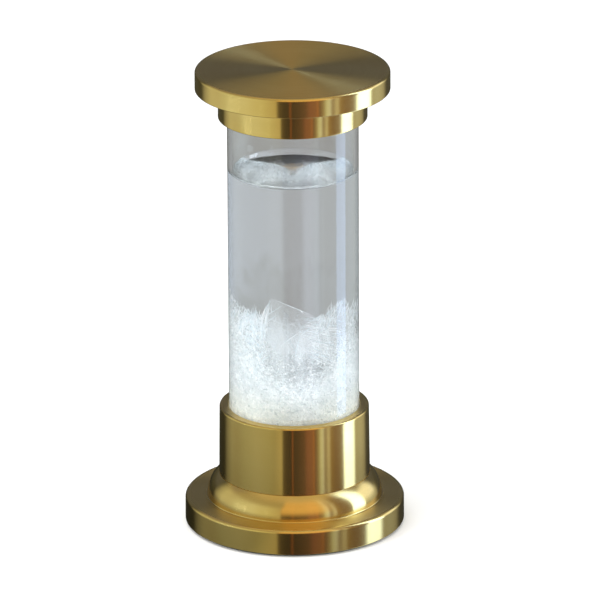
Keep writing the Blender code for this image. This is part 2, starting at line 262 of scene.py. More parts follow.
def clear_material(name, colour, refraction):
    """Glass or liquid, perfectly smooth."""
    material, nodes, shader = new_material(name)
    nodes.fill(shader, {
        "Base Color": colour, "Transmission Weight": 1.0, "IOR": refraction, "Roughness": 0.0,
    })
    return material


CRYSTAL_IOR = 1.16  # low, because the crystals lie in the liquid


def crystal_material(name, dull, inner_shade, clear, roughness):
    """Camphor crystal in the liquid. Each has its own whiteness; painted shade greys those deep inside, a
    painted reflection of the brass tints those low down cream, and low down in the middle they are greyer.

    Each pair of lengths says where a tint sets in and where it is full.
    """
    brass_reflection_cream, grey = (1.0, 0.975, 0.91, 1), (0.86, 0.86, 0.85, 1)
    relief = 0.04 * MM
    bed_heights = (62.0 * MM, 46.0 * MM)
    bed_middle = (15.0 * MM, 6.0 * MM)
    # Heights, middle and radii where painted shade greys the crystals deep inside the bed
    shade_heights = (56.0 * MM, 66.0 * MM)
    shade_middle = (15.0 * MM, 8.0 * MM)
    shade_radii = (21.0 * MM, 18.0 * MM)
    material, nodes, shader = new_material(name)
    radius, height, where = cylindrical(nodes)
    across = nodes.math("ABSOLUTE", nodes.split(where)[0])
    own = nodes.add("ShaderNodeNewGeometry").outputs["Random Per Island"]
    frost = nodes.noise(where, 1100.0, 3.0)
    cloud = nodes.smooth(nodes.noise(where, 420.0, 3.0), 0.3, 0.7)
    share = nodes.scaled(cloud, 0.25, nodes.scaled(own, 0.75))
    tone = nodes.mix(share, WHITE, (*dull, 1))
    # Painted reflection of the brass: crystals low down are tinted cream
    low_down = nodes.smooth(height, *bed_heights)
    tone = nodes.mix(low_down, tone, brass_reflection_cream, "MULTIPLY")
    # Greyer low down in the middle
    middle = nodes.product(low_down, nodes.smooth(across, *bed_middle))
    tone = nodes.mix(middle, tone, grey, "MULTIPLY")
    # Painted shade: the crystals deep inside the bed are greyed
    shaded_within = nodes.product(
        nodes.smooth(radius, *shade_radii),
        nodes.smooth(height, *shade_heights),
        nodes.smooth(across, *shade_middle),
    )
    thin = nodes.scaled(nodes.smooth(frost, 0.7, 0.3), 0.5, 0.5)
    nodes.fill(shader, {
        "Base Color": nodes.mix(shaded_within, tone, (inner_shade, inner_shade, inner_shade, 1), "MULTIPLY"),
        "Transmission Weight": nodes.scaled(thin, clear),
        "Roughness": nodes.scaled(frost, 0.25, roughness),
        "IOR": CRYSTAL_IOR,
    })
    nodes.bump(shader, frost, relief, 0.5)
    return material


def film_material(name, colour, cover):
    """A sheet too thin to bend light: it only veils what stands behind it."""
    material, nodes, shader = new_material(name)
    streak = nodes.noise(nodes.object_place(), 700.0, 3.0)
    shade = [c * 0.9 for c in colour]
    nodes.fill(shader, {
        "Base Color": nodes.mix(nodes.smooth(streak, 0.35, 0.65), (*colour, 1), (*shade, 1)),
        "Roughness": nodes.scaled(streak, 0.2, 0.3),
        "IOR": CRYSTAL_IOR,
        "Alpha": cover,
    })
    return material


def speckled_material(name, dark, light, scale, roughness, relief, sheen=0.0):
    """Cork, felt, rubber and resin: a two-tone grain with its own relief."""
    material, nodes, shader = new_material(name)
    where = nodes.object_place()
    grain = nodes.add("ShaderNodeTexVoronoi", {"Vector": where, "Scale": scale}).outputs[0]
    fibre = nodes.noise(where, scale * 2.3, 5.0)
    share = nodes.scaled(fibre, 0.6, nodes.scaled(grain, 0.5))
    nodes.fill(shader, {
        "Base Color": nodes.mix(share, (*dark, 1), (*light, 1)),
        "Roughness": nodes.scaled(fibre, 0.15, roughness),
        "Sheen Weight": sheen,
    })
    nodes.bump(shader, share, relief, 0.6)
    return material


def steel_material():
    dark, light = (0.42, 0.43, 0.45, 1), (0.66, 0.67, 0.68, 1)
    material, nodes, shader = new_material("zinc_steel")
    radius, height, where = cylindrical(nodes)
    lathe = nodes.add("ShaderNodeCombineXYZ", {0: radius, 1: height}).outputs[0]
    lines = nodes.noise(lathe, 2600.0, 2.0)
    spots = nodes.noise(where, 400.0, 4.0)
    nodes.fill(shader, {
        "Base Color": nodes.mix(spots, dark, light),
        "Metallic": 1.0,
        "Roughness": nodes.scaled(spots, 0.2, 0.22),
    })
    nodes.bump(shader, lines, 0.02 * MM, 0.4)
    return material


BRASS = brass_material("turned_brass", 0.13)
FACED_BRASS = brass_material("faced_brass", 0.27)
GLASS = clear_material("tube_glass", (0.985, 0.995, 1.0, 1), 1.47)
LIQUID = clear_material("storm_liquid", (0.99, 0.995, 1.0, 1), 1.377)
STEEL = steel_material()
# The third number sets how far painted shade greys the crystals deep inside; 1.0 is none
BED_CRYSTAL = crystal_material("bed_crystal", (0.68, 0.73, 0.74), 0.58, 0.10, 0.3)
NEEDLE_CRYSTAL = crystal_material("needle_crystal", (0.52, 0.60, 0.65), 0.84, 0.05, 0.2)
FAN_CRYSTAL = crystal_material("fan_crystal", (0.68, 0.76, 0.80), 1.0, 0.05, 0.2)
VEIL_FILM = film_material("sheet_crystal", (0.94, 0.98, 1.0), 0.055)
PLATE_FILM = film_material("plate_crystal", (0.96, 0.99, 1.0), 0.11)
FELT = speckled_material("felt", (0.02, 0.024, 0.02), (0.07, 0.075, 0.065), 2600.0, 0.85, 0.2 * MM, 0.4)
CORK = speckled_material("cork", (0.20, 0.105, 0.045), (0.60, 0.40, 0.22), 900.0, 0.75, 0.15 * MM)
RUBBER = speckled_material("rubber", (0.016, 0.016, 0.018), (0.045, 0.045, 0.05), 3000.0, 0.55, 0.02 * MM)
RESIN = speckled_material("resin", (0.55, 0.47, 0.30), (0.80, 0.74, 0.58), 350.0, 0.25, 0.02 * MM)


# Brass pieces

def box_facts(node):
    """Lowest height, highest height and outer radius of a CAD node."""
    low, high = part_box(node)
    return low.z, high.z, high.x


foot_low, foot_high, foot_radius = box_facts("base_foot")
collar_low, collar_high, collar_radius = box_facts("socket_collar")
ring_low, ring_high, ring_radius = box_facts("cap_ring")
disc_low, disc_high, disc_radius = box_facts("cap_disc")
tube_low, tube_high, tube_radius = box_facts("glass_tube")
bore_radius = tube_radius + 0.2 * MM
wall = 1.8 * MM
inner_radius = tube_radius - wall  # of the glass tube


def face_off(obj):
    """The flat faces that look up were faced on the lathe and keep coarser grooves."""
    level = 0.999
    obj.data.materials.append(FACED_BRASS)
    for polygon in obj.data.polygons:
        if polygon.normal.z > level:
            polygon.material_index = 1


def make_base_foot():
    """Flange and a moulding whose convex side leans back to meet the collar."""
    flange_top = 10.8 * MM
    moulding = 33.6 * MM
    bow = 11.5 * MM
    slope = 52.0
    rim = 1.4 * MM
    lower = 0.3 * MM
    fillet = 0.45 * MM
    recess = 12.3 * MM
    recess_floor = foot_high - 2.3 * MM
    counterbore = 7.5 * MM
    roof = 12.0 * MM
    hole = 3.4 * MM
    bow_centre = (moulding - bow, foot_high - bow * math.sin(math.radians(slope)))
    points = [(recess, foot_high)]
    points += arc(bow_centre, bow, slope, 3, 30)
    points += arc((moulding + fillet, flange_top + fillet), fillet, 180, 270, 5)
    points += arc((foot_radius - rim, flange_top - rim), rim, 90, 0, 10)
    points += arc((foot_radius - lower, foot_low + lower), lower, 0, -90, 4)
    points += [(counterbore, foot_low), (counterbore, roof), (hole, roof), (hole, recess_floor)]
    points += [(recess, recess_floor)]
    foot = turned("turned_foot", points, closed=True)
    place(foot, "base", "brass", BRASS, "base_foot")
    face_off(foot)


def seal_groove(mouth, towards):
    """Corners of a rubber ring's groove, in from the mouth of a bore: towards is 1 for up, -1 for down."""
    inset = 4.0 * MM
    tall = 2.5 * MM
    groove = tube_radius + 2.2 * MM
    near = mouth + towards * inset
    far = near + towards * tall
    return [(bore_radius, near), (groove, near), (groove, far), (bore_radius, far)]


def make_socket_collar():
    """The cup that the tube stands in; it meets the moulding in a crisp line with a small bevel."""
    floor = 28.2 * MM
    floor_thickness = 1.6 * MM
    edge = 0.8 * MM
    top_radius = 28.7 * MM
    bevel = 0.1 * MM
    bevel_height = 0.12 * MM
    spigot = 12.0 * MM
    screw_hole = 3.3 * MM
    seat = foot_high + SEAM
    points = [(0.0, floor), (bore_radius, floor)]
    points += reversed(seal_groove(collar_high, -1))
    points += [(bore_radius, collar_high - bevel), (bore_radius + bevel, collar_high)]
    points += arc((top_radius - edge, collar_high - edge), edge, 90, 0, 8)
    points += [(collar_radius, seat + bevel_height), (collar_radius - bevel, seat)]
    points += [(spigot, seat), (spigot, collar_low), (screw_hole, collar_low)]
    points += [(screw_hole, floor - floor_thickness), (0.0, floor - floor_thickness)]
    collar = turned("turned_collar", points)
    place(collar, "base", "brass", BRASS, "socket_collar")
    face_off(collar)


def make_cap_ring():
    """An inverted cup that fits over the tube, with a countersunk hole in its web."""
    edge = 0.3 * MM
    bevel = 0.1 * MM
    bevel_height = 0.15 * MM
    mouth = 0.2 * MM
    web = ring_high - 3.0 * MM
    hole = 2.8 * MM
    sink = 4.9 * MM
    sink_depth = 2.1 * MM
    top = disc_low - SEAM
    points = [(ring_radius - bevel, top), (ring_radius, top - bevel_height)]
    points += arc((ring_radius - edge, ring_low + edge), edge, 0, -90, 4)
    points += [(bore_radius + mouth, ring_low), (bore_radius, ring_low + mouth)]
    points += seal_groove(ring_low, 1)
    points += [(bore_radius, web), (sink, web), (hole, web + sink_depth), (hole, top)]
    ring = turned("turned_cap_ring", points, closed=True)
    place(ring, "cap", "brass", BRASS, "cap_ring")


def make_cap_disc():
    """The disc, with a blind screw hole below."""
    rim = 1.2 * MM
    lower = 0.3 * MM
    hole = 2.8 * MM
    roof = disc_low + 5.4 * MM
    points = [(0.0, disc_high)]
    points += arc((disc_radius - rim, disc_high - rim), rim, 90, 0, 12)
    points += arc((disc_radius - lower, disc_low + lower), lower, 0, -90, 4)
    points += [(hole, disc_low), (hole, roof), (0.0, roof)]
    disc = turned("turned_cap_disc", points)
    place(disc, "cap", "brass", BRASS, "cap_disc")
    face_off(disc)


# Tube and liquid

LEVEL = 139.7 * MM
MENISCUS = 3.2 * MM
CAPILLARY = 3.1 * MM
WETTING = 0.06 * MM  # how far the liquid's skin reaches into the glass wall
FLOOR_CORNER = 1.5 * MM


def make_glass_tube():
    lip = 0.5 * MM
    corner = 2.5 * MM
    floor = tube_low + wall
    points = [(0.0, floor)]
    points += arc((inner_radius - FLOOR_CORNER, floor + FLOOR_CORNER), FLOOR_CORNER, -90, 0, 8)
    points += arc((inner_radius + lip, tube_high - lip), lip, 180, 90, 5)
    points += arc((tube_radius - lip, tube_high - lip), lip, 90, 0, 5)
    points += arc((tube_radius - corner, tube_low + corner), corner, 0, -90, 8)
    points += [(0.0, tube_low)]
    tube = turned("clear_tube", points, sharp=80)
    hide_from(tube, "shadow")
    place(tube, "vessel", "tube_glass", GLASS, "glass_tube")


def make_liquid():
    """The whole fill, flat with a meniscus that climbs the wall."""
    outer = inner_radius + WETTING
    floor = tube_low + wall - WETTING
    steps = 24
    reach = 6.0  # capillary lengths from the wall to the flat
    crowding = 1.6  # draws the points together at the wall
    points = [(0.0, LEVEL)]
    for step in range(steps + 1):
        distance = reach * (1 - step / steps) ** crowding
        points.append((inner_radius - distance * CAPILLARY, LEVEL + MENISCUS * math.exp(-distance)))
    points.append((outer, LEVEL + MENISCUS))
    points += arc((outer - FLOOR_CORNER, floor + FLOOR_CORNER), FLOOR_CORNER, 0, -90, 6)
    points += [(0.0, floor)]
    liquid = turned("storm_fill", points, sharp=60)
    hide_from(liquid, "shadow")
    place(liquid, "vessel", "liquid", LIQUID, "storm_liquid")


# Crystals

class Shards:
    """Many small crystals gathered into one mesh."""

    def __init__(self, seed):
        self.random = random.Random(seed)
        self.verts = []
        self.faces = []
        self.films = []

    def direction(self):
        """A random unit vector."""
        height = self.random.uniform(-1, 1)
        turn = self.random.uniform(0, math.tau)
        flat = math.sqrt(1 - height * height)
        return Vector((flat * math.cos(turn), flat * math.sin(turn), height))

    def spindle(self, foot, tip, width, sides=3, thickness=None, waist=0.35):
        """A needle that narrows to a point at both ends."""
        shortest, thinnest = 1e-6, 1e-9
        along = tip - foot
        if along.length < shortest:
            return
        across = along.cross(self.direction())
        if across.length < thinnest:
            across = along.orthogonal()
        across.normalize()
        depth = along.normalized().cross(across)
        across *= width / 2
        depth *= (thickness or width) / 2
        first = len(self.verts)
        centre = foot.lerp(tip, waist)
        for side in range(sides):
            turn = math.tau * side / sides
            self.verts.append(centre + across * math.cos(turn) + depth * math.sin(turn))
        self.verts += [foot, tip]
        low, high = first + sides, first + sides + 1
        for side in range(sides):
            after = (side + 1) % sides
            self.faces.append([first + side, first + after, high])
            self.faces.append([first + after, first + side, low])

    def fern(self, foot, tip, face, reach, gap, width, spread):
        """A spine with needle barbs, longest low down, which lean towards the tip."""
        rng = self.random
        bare_share = 0.1
        along = tip - foot
        length = along.length
        along.normalize()
        across = along.cross(face).normalized()
        self.spindle(foot, tip, width * 2.0, sides=4)
        lean = math.radians(spread)
        count = max(3, int(length / gap))
        for i in range(count):
            share = (i + rng.uniform(0.2, 0.8)) / count
            barb = reach * (1.0 - share) ** 0.55 * rng.uniform(0.55, 1.1)
            start = foot + along * (length * share)
            for side in (-1, 1):
                if rng.random() < bare_share:
                    continue
                heading = along * math.cos(lean) + across * (side * math.sin(lean))
                heading += face * rng.uniform(-0.15, 0.15)
                end = clip_under(start, start + heading.normalized() * barb)
                self.spindle(start, end, width)

    def sheet(self, corners, thickness):
        """A thin flat crystal with the given corners, in order round its outline."""
        normal = (corners[1] - corners[0]).cross(corners[-1] - corners[0]).normalized()
        first = len(self.verts)
        count = len(corners)
        for side in (0.5, -0.5):
            self.verts += [corner + normal * (thickness * side) for corner in corners]
        self.films += range(len(self.faces), len(self.faces) + count + 2)
        self.faces.append([first + i for i in range(count)])
        self.faces.append([first + count + i for i in reversed(range(count))])
        for i in range(count):
            after = (i + 1) % count
            self.faces.append([first + after, first + i, first + count + i, first + count + after])

    def build(self, name, material, *nodes, film=VEIL_FILM):
        mesh = bpy.data.meshes.new(name)
        mesh.from_pydata([tuple(v) for v in self.verts], [], self.faces)
        mesh.shade_flat()
        shards = collect(name, mesh)
        hide_from(shards, "shadow")
        place(shards, "vessel", "crystal", material, *nodes)
        if self.films:
            mesh.materials.append(film)
            for index in self.films:
                mesh.polygons[index].material_index = 1


CRYSTAL_LIMIT = inner_radius - 0.12 * MM
BED_FLOOR = tube_low + wall + 0.5 * MM

# The crystals' ragged skyline, in millimetres: how far across, and how high it stands there
OUTLINE = [
    (-24, 95.6), (-21, 93.2), (-17.3, 91.8), (-15.2, 90.8), (-14, 90.3), (-13.1, 93.0), (-12.5, 90.4),
    (-11.9, 92.8), (-11.4, 90.0), (-11, 91.7), (-9.8, 89.2), (-8.5, 93.2), (-7.2, 95), (-2.7, 92.7),
    (1.7, 90.2), (6.4, 87.7), (9, 89), (10.3, 88.4), (11, 91.2), (11.9, 90.4), (12.5, 94), (13.6, 92),
    (14.7, 94.6), (16, 92.4), (17.2, 95.2), (18.3, 91), (19.1, 93.2), (20.2, 90.6), (21.4, 93.4), (24, 93),
]
OUTLINE_ACROSS, OUTLINE_HEIGHT = zip(*OUTLINE)
OUTLINE_PLANE = -10.0 * MM
DEPTH_SPREAD = 0.013  # how much wider, per millimetre of depth, the liquid shows what stands behind
DEPTH_RISE = 0.224  # how much higher, per millimetre of depth, it appears to stand


def outline_height(x, y):
    """How high loose crystals may reach, so that together they fill one ragged outline."""
    deep = (y - OUTLINE_PLANE) / MM
    across = x / MM * (1.0 + DEPTH_SPREAD * deep)
    return (float(np.interp(across, OUTLINE_ACROSS, OUTLINE_HEIGHT)) - DEPTH_RISE * deep) * MM


def bed_height(x, y):
    """Top of the dense bed: higher at the left wall and the right wall, lowest in the middle."""
    middle = 65.5
    across = x / inner_radius
    deep = y / inner_radius
    swell = 1.1 * math.sin(5.1 * across - 1.0) + 1.0 * math.cos(4.3 * deep + 0.6)
    climb = 25.0 * max(-across - 0.2, 0.0) ** 1.4 + 15.0 * max(across - 0.25, 0.0) ** 1.3
    fall = 4.0 * max(deep, 0.0)
    return (middle + swell + climb - fall) * MM


def shortened(foot, tip, fits):
    """The crystal's tip, drawn towards its foot until it fits."""
    most_tries = 30
    kept_share = 0.88
    for _ in range(most_tries):
        if fits(tip):
            break
        tip = foot.lerp(tip, kept_share)
    return tip


def in_glass(point):
    return math.hypot(point.x, point.y) < CRYSTAL_LIMIT


def clip_inside(foot, tip):
    """Shorten a crystal so that its tip stays clear of the glass."""
    return shortened(foot, tip, in_glass)


def clip_under(foot, tip, gap=0.0):
    """Shorten a crystal so that its tip stays in the glass and under the outline."""
    return shortened(foot, tip, lambda end: in_glass(end) and end.z < outline_height(end.x, end.y) - gap)


def spot(rng, share=0.96):
    """A random place across the tube."""
    angle = rng.uniform(0, math.tau)
    radius = inner_radius * share * math.sqrt(rng.random())
    return radius * math.cos(angle), radius * math.sin(angle)


def upright(rng, x_lean, x_spread, y_spread, z):
    """A heading near the vertical: z is 1 for up and -1 for down."""
    return Vector((rng.gauss(x_lean, x_spread), rng.gauss(0.0, y_spread), z)).normalized()


def make_bed_core():
    """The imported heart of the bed: a lumpy turned solid with a domed top, clear of the glass."""
    floor = tube_low + wall + 0.4 * MM
    rim = inner_radius - 1.6 * MM
    sink = 2.5 * MM
    shoulder = 9.0 * MM
    turns = 220
    across_steps = 45
    side_steps = 110
    coarse, fine = 420.0, 1100.0
    radii = [rim * step / across_steps for step in range(1, across_steps)]
    rings = [(radius, 0.0) for radius in radii]
    rings += [(rim, step / side_steps) for step in range(side_steps + 1)]
    rings += [(radius, 1.0) for radius in reversed(radii)]

    def vertex(radius, rise, turn):
        """A point of the solid: rise is 0 on the floor and 1 on the top."""
        angle = math.tau * turn / turns
        x, y = radius * math.cos(angle), radius * math.sin(angle)
        high = bed_height(x, y) - sink - shoulder * (radius / rim) ** 10
        z = floor + (high - floor) * rise
        where = Vector((x, y, z))
        bumpy = (noise.noise(where * coarse) * 0.55 + noise.noise(where * fine) * 0.3) * MM
        if radius == rim:
            shrink = 1.0 - abs(bumpy) / rim
            return x * shrink, y * shrink, z
        return x, y, z + bumpy * rise

    body = bmesh.new()
    grid = [[body.verts.new(vertex(*ring, turn)) for turn in range(turns)] for ring in rings]
    for low, high in zip(grid, grid[1:]):
        for turn in range(turns):
            after = (turn + 1) % turns
            body.faces.new((low[turn], low[after], high[after], high[turn]))
    bottom = body.verts.new((0, 0, floor))
    peak = body.verts.new((0, 0, bed_height(0, 0) - sink))
    for turn in range(turns):
        after = (turn + 1) % turns
        body.faces.new((grid[0][after], grid[0][turn], bottom))
        body.faces.new((grid[-1][turn], grid[-1][after], peak))
    mesh = finished("bed_core", body)
    mesh.shade_smooth()
    core = collect("bed_core", mesh)
    hide_from(core, "shadow")
    place(core, "vessel", "crystal", BED_CRYSTAL, "crystal_bed")


def make_bed_grains():
    """Small crystals packed against the wall; at the front a few lie above the bed."""
    count = 22000
    skin = 2.2 * MM
    loose_share = 0.07
    loose_height = 12.0 * MM
    grains = Shards(11)
    rng = grains.random
    for _ in range(count):
        angle = rng.uniform(0, math.tau)
        radius = CRYSTAL_LIMIT - skin * rng.random() ** 1.6
        x, y = radius * math.cos(angle), radius * math.sin(angle)
        high = bed_height(x, y)
        z = rng.uniform(BED_FLOOR, high)
        if rng.random() < loose_share and y < 0.0:
            z = high + loose_height * rng.random() ** 2.0
        centre = Vector((x, y, z))
        heading = grains.direction()
        outward = Vector((x, y, 0.0)).normalized()
        heading -= outward * heading.dot(outward) * 0.7
        heading.normalize()
        length = rng.uniform(0.5, 1.5) * MM + 1.6 * MM * rng.random() ** 6
        foot = clip_inside(centre, centre - heading * length / 2)
        tip = clip_inside(centre, centre + heading * length / 2)
        grains.spindle(foot, tip, length * rng.uniform(0.2, 0.6), waist=0.5)
    grains.build("bed_grains", BED_CRYSTAL)


def make_bed_crust():
    """Longer grains over the bed's top."""
    count = 3600
    sunk = 4.0 * MM
    depth = 9.0 * MM
    crust = Shards(12)
    rng = crust.random
    for _ in range(count):
        x, y = spot(rng, 0.985)
        centre = Vector((x, y, bed_height(x, y) - sunk + depth * rng.random() ** 2.0))
        heading = crust.direction()
        length = rng.uniform(0.5, 2.6) * MM
        tip = clip_inside(centre, centre + heading * length)
        crust.spindle(centre, tip, length * rng.uniform(0.12, 0.4), waist=0.5)
    crust.build("bed_crust", BED_CRYSTAL)


def make_ferns():
    """Ferns that rise from the bed all round."""
    count = 16
    barb_gap = 0.95 * MM
    barb_width = 0.16 * MM
    ferns = Shards(23)
    rng = ferns.random
    for _ in range(count):
        x, y = spot(rng, 0.92)
        foot = Vector((x, y, bed_height(x, y) - rng.uniform(0.0, 4.0) * MM))
        lean = Vector((rng.uniform(-0.5, 0.5), rng.uniform(-0.5, 0.5), 1.0)).normalized()
        top = outline_height(x, y) - rng.uniform(0.5, 12.0) * MM
        tip = clip_under(foot, foot + lean * ((top - foot.z) / lean.z))
        face = lean.cross(ferns.direction()).normalized()
        ferns.fern(foot, tip, face, rng.uniform(2.0, 5.0) * MM, barb_gap, barb_width, rng.uniform(30, 60))
    ferns.build("fern_crystals", NEEDLE_CRYSTAL)


def make_veils():
    """Thin five-cornered sheets between the ferns; those that would cross the outline are left out."""
    count = 42
    thickness = 0.1 * MM
    sunk = 5.0 * MM
    veil = Shards(29)
    rng = veil.random
    for _ in range(count):
        x, y = spot(rng, 0.86)
        turn = rng.gauss(0.0, 0.8)
        side = Vector((math.cos(turn), math.sin(turn), 0.0))
        width = rng.uniform(3.0, 8.5) * MM
        centre = Vector((x, y, bed_height(x, y) - sunk))
        rise = Vector((0, 0, outline_height(x, y) - rng.uniform(0.8, 12.0) * MM - centre.z))
        slip = rng.uniform(-0.9, 0.9)
        corners = [
            centre - side * width * 0.5,
            centre - side * width * 0.6 + rise * rng.uniform(0.6, 0.8),
            centre + side * width * 0.5 * slip + rise,
            centre + side * width * 0.6 + rise * rng.uniform(0.5, 0.8),
            centre + side * width * 0.5,
        ]
        if all(in_glass(c) and c.z < outline_height(c.x, c.y) for c in corners):
            veil.sheet(corners, thickness)
            for start, end in zip(corners, corners[1:]):
                veil.spindle(start, end, thickness, waist=0.5)
    veil.build("veil_crystals", NEEDLE_CRYSTAL)


def make_needles():
    """Loose needles between the bed and the outline, thinning out upwards."""
    count = 300
    needles = Shards(37)
    rng = needles.random
    for _ in range(count):
        x, y = spot(rng)
        low = bed_height(x, y) - 1.0 * MM
        z = low + (outline_height(x, y) - 2.0 * MM - low) * rng.random() ** 1.6
        root = Vector((x, y, z))
        tip = clip_under(root, root + needles.direction() * rng.uniform(1.0, 5.0) * MM, 0.3 * MM)
        needles.spindle(root, tip, rng.uniform(0.1, 0.22) * MM)
    needles.build("needle_crystals", NEEDLE_CRYSTAL)


def near_wall(x, gap):
    """The place at x on the front of the tube, a given distance in from the glass."""
    return -math.sqrt(max((CRYSTAL_LIMIT - gap) ** 2 - x * x, 0.0))


def make_wall_fan():
    """What grew against the glass on the left: upright blades, slanting strokes and fine needles."""
    blades = 120
    strokes = 200
    wall_needles = 130
    slants = (0.9, -0.8, -1.1)
    highest = 95.0 * MM
    fan = Shards(41)
    rng = fan.random
    for _ in range(blades):
        x = rng.uniform(-21.5, -8.0) * MM
        y = near_wall(x, rng.uniform(0.3, 7.0) * MM)
        tip = Vector((x, y, outline_height(x, y) - 9.0 * MM * rng.random() ** 1.5))
        lean = upright(rng, -0.22, 0.2, 0.15, -1.0)
        foot = clip_inside(tip, tip + lean * rng.uniform(4.0, 12.0) * MM)
        fan.spindle(foot, tip, rng.uniform(0.3, 0.75) * MM, waist=0.4)
    for _ in range(strokes):
        x = rng.uniform(-22.0, -12.0) * MM
        y = near_wall(x, rng.uniform(0.1, 4.0) * MM)
        centre = Vector((x, y, rng.uniform(64, 90) * MM))
        heading = Vector((1.0, rng.gauss(0.0, 0.3), rng.choice(slants) + rng.gauss(0.0, 0.3)))
        reach = heading.normalized() * rng.uniform(2.5, 6.5) * MM
        foot, tip = clip_under(centre, centre - reach), clip_under(centre, centre + reach)
        fan.spindle(foot, tip, rng.uniform(0.3, 0.75) * MM, waist=0.5)
    for _ in range(wall_needles):
        angle = math.radians(rng.uniform(165, 232))
        radius = CRYSTAL_LIMIT - rng.uniform(0.05, 0.8) * MM
        x, y = radius * math.cos(angle), radius * math.sin(angle)
        low, high = bed_height(x, y), min(outline_height(x, y), highest)
        root = Vector((x, y, low + (high - low) * rng.random()))
        lean = upright(rng, 0.1, 0.12, 0.2, 1.0)
        tip = clip_under(root, root + lean * rng.uniform(1.5, 6.0) * MM)
        fan.spindle(root, tip, rng.uniform(0.15, 0.35) * MM, waist=0.4)
    fan.build("wall_fan", FAN_CRYSTAL)


def make_wall_growth():
    """What grew against the glass on the right: rows of strands, and a comb of upright needles."""
    rows = 40
    row_gap = 0.42
    strands = 3
    comb = 260
    growth = Shards(43)
    rng = growth.random
    for row in range(rows):
        x = rng.uniform(2.0, 9.0) * MM
        y = rng.uniform(-17.5, -12.0) * MM
        z = (88.0 - row_gap * row + rng.uniform(-0.3, 0.3)) * MM
        last = Vector((x, y, z))
        drop = -0.10 - 0.012 * row
        for _ in range(strands):
            after = last + Vector((rng.uniform(3.5, 5.5), rng.uniform(-0.2, 0.6), 0)) * MM
            after.z += (drop + rng.uniform(-0.07, 0.07)) * (after.x - last.x)
            if not in_glass(after):
                break
            width = rng.uniform(0.4, 0.8) * MM
            growth.spindle(last, clip_under(last, after), width, thickness=0.35 * MM, waist=0.5)
            last = after
    for _ in range(comb):
        x = rng.uniform(9.0, 22.2) * MM
        y = near_wall(x, rng.uniform(0.3, 5.0) * MM)
        tip = Vector((x, y, outline_height(x, y) - 7.0 * MM * rng.random() ** 1.6))
        lean = upright(rng, -0.25, 0.3, 0.15, -1.0)
        foot = clip_inside(tip, tip + lean * rng.uniform(1.5, 4.5) * MM)
        growth.spindle(foot, tip, rng.uniform(0.2, 0.45) * MM, waist=0.4)
    growth.build("wall_growth", FAN_CRYSTAL)


# Outline corners of each large sheet, in millimetres
SHEETS = {
    1: [(-18.5, -2, 68), (-20.4, -3, 82), (-20.2, -4, 91.5), (-16.5, -7, 88), (-13, -8, 70)],
    2: [(-12.5, -9.5, 70), (-14.4, -10.5, 82), (-12.9, -10.3, 92.2), (-10.6, -10, 84), (-8.5, -10.5, 70)],
    3: [(-9.5, -8, 72), (-9.9, -8, 86.2), (-7, -8, 94.5), (6.2, -8, 87.2), (8.5, -8.5, 72)],
    4: [(0, -12, 70), (1.9, -11, 80), (8, -12.5, 86), (12.6, -13, 80), (10, -13, 70)],
    5: [(10, -7.5, 70), (11, -7.2, 87.5), (17, -8, 93.8), (19.4, -7.5, 86), (18.4, -7, 70)],
    6: [(0.5, 9, 66), (1.5, 10.5, 78), (6.5, 12, 83), (13, 10.5, 84.5), (13, 9, 66)],
}

# Straight crystals that cross the sheets, from foot to tip, in millimetres. They grow with the third sheet.
BARRED_SHEET = 3
BARS = [
    ((-9.9, -8.4, 86.2), (-3.3, -8.4, 91.8)),
    ((-8.8, -8.5, 86), (-7.2, -8.5, 94)),
    ((-0.3, -9.5, 83.2), (9.5, -9.5, 75.6)),
    ((9.5, -9.5, 76), (14, -9.5, 75.1)),
    ((1.6, -8.4, 90.4), (3.1, -8.4, 88.1)),
    ((-9.6, -9, 83.6), (-4.4, -9.2, 88.9)),
    ((4.2, -9, 87.4), (11.5, -9.6, 84.6)),
    ((-4, -10, 76), (2.5, -10, 82)),
]


def make_plates():
    """The large clear sheets, each with a bright edge and a few needles along its face."""
    thickness = 0.16 * MM
    edge = 0.34 * MM
    needles = 46
    for number, outline in SHEETS.items():
        corners = [Vector(corner) * MM for corner in outline]
        shards = Shards(50 + number)
        rng = shards.random
        shards.sheet(corners, thickness)
        face = (corners[1] - corners[0]).cross(corners[-1] - corners[0]).normalized()
        for start, end in zip(corners[:-1], corners[1:]):
            shards.spindle(start, end, edge, sides=4, waist=0.5)
        for _ in range(needles):
            share = min(rng.random(), rng.random())
            base = corners[0].lerp(corners[-1], share)
            peak = corners[1].lerp(corners[-2], share)
            start = base.lerp(peak, rng.uniform(0.2, 0.9))
            step = (corners[2] - corners[3]) * rng.uniform(-0.35, 0.35)
            end = start + step + face * rng.uniform(-0.3, 0.3) * MM
            shards.spindle(start, clip_under(start, end, 0.8 * MM), rng.uniform(0.06, 0.14) * MM, waist=0.5)
        if number == BARRED_SHEET:
            for start, end in BARS:
                shards.spindle(Vector(start) * MM, Vector(end) * MM, edge, sides=4, waist=0.5)
        shards.build(f"large_crystal_{number}", FAN_CRYSTAL, f"crystal_plate_{number}", film=PLATE_FILM)


# Seals, cushions and fasteners

def make_disc(name, node, body, slot, material, edge):
    low, high, radius = box_facts(node)
    points = [(0.0, high)]
    points += arc((radius - edge, high - edge), edge, 90, 0, 4)
    points += arc((radius - edge, low + edge), edge, 0, -90, 4)
    points += [(0.0, low)]
    place(turned(name, points), body, slot, material, node)


def make_seal(name, node, body):
    """A round rubber ring; the profile's closing edge spans the last 20 degrees of its section."""
    low, high, radius = box_facts(node)
    cord = (high - low) / 2
    centre = (radius - cord, (low + high) / 2)
    ring = turned(name, arc(centre, cord, 90, -250, 23), closed=True)
    place(ring, body, "rubber", RUBBER, node)


def finish_fasteners():
    for node in ("base_screw", "base_washer", "lock_washer", "cap_screw"):
        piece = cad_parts[node]
        piece.data.materials.clear()
        piece.data.materials.append(STEEL)


# Studio

